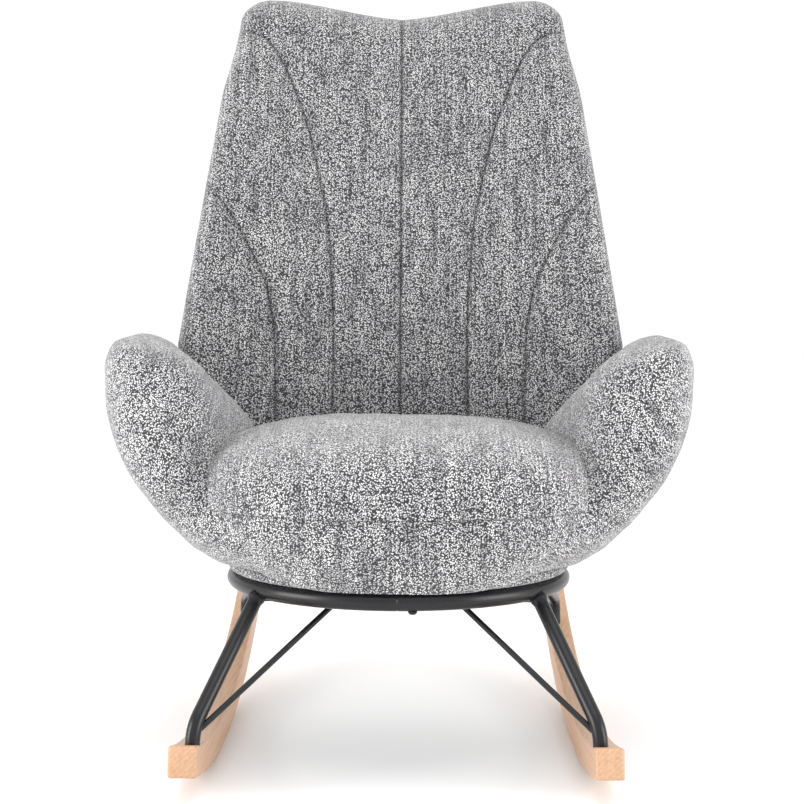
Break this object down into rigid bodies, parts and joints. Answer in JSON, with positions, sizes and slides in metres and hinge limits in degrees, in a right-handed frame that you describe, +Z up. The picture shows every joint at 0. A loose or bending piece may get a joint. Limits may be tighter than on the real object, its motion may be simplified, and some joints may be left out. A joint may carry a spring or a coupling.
{
  "type": "upholstered rocking chair",
  "caption": "Rocking chair with a tall channelled back, petal arms and a domed seat in woven fabric, on a round black steel frame with curved beech rockers.",
  "frame": {"origin": "on the floor, at the middle of the chair's overall box in plan, with the chair at its rest angle", "axes": "+Z up, -Y towards where the sitter's legs go, +X towards the sitter's left hand"},
  "size_m": [0.7356, 0.842, 0.9909],
  "materials": {
    "woven_fabric": "looped weave in charcoal, grey and white",
    "lining": "thin black lining cloth",
    "black_steel": "satin black powder coat",
    "zinc_steel": "zinc plated",
    "beech": "clear matt lacquer",
    "plywood": "unfinished birch plywood"
  },
  "bodies": {
    "root": {"seat_ring": "black_steel", "rocker_left": "beech", "front_leg_left": "black_steel", "rear_leg_left": "black_steel", "brace_rod_left": "black_steel", "leg_plug_front_left": "zinc_steel", "rocker_bolt_front_left": "zinc_steel", "leg_plug_rear_left": "zinc_steel", "rocker_bolt_rear_left": "zinc_steel", "back_strap_left": "zinc_steel", "arm_strap_left": "zinc_steel", "arm_pad_left": "woven_fabric", "rocker_right": "beech", "front_leg_right": "black_steel", "rear_leg_right": "black_steel", "brace_rod_right": "black_steel", "leg_plug_front_right": "zinc_steel", "rocker_bolt_front_right": "zinc_steel", "leg_plug_rear_right": "zinc_steel", "rocker_bolt_rear_right": "zinc_steel", "back_strap_right": "zinc_steel", "arm_strap_right": "zinc_steel", "arm_pad_right": "woven_fabric", "front_cross_bar": "black_steel", "rear_cross_bar": "black_steel", "seat_board": "plywood", "dust_cover": "lining", "seat_bolt_1": "black_steel", "threaded_insert_1": "zinc_steel", "seat_bolt_2": "black_steel", "threaded_insert_2": "zinc_steel", "seat_bolt_3": "black_steel", "threaded_insert_3": "zinc_steel", "back_pad": "woven_fabric", "back_board": "plywood", "back_cover": "woven_fabric", "seat_cushion": "woven_fabric"}
  },
  "joints": []
}
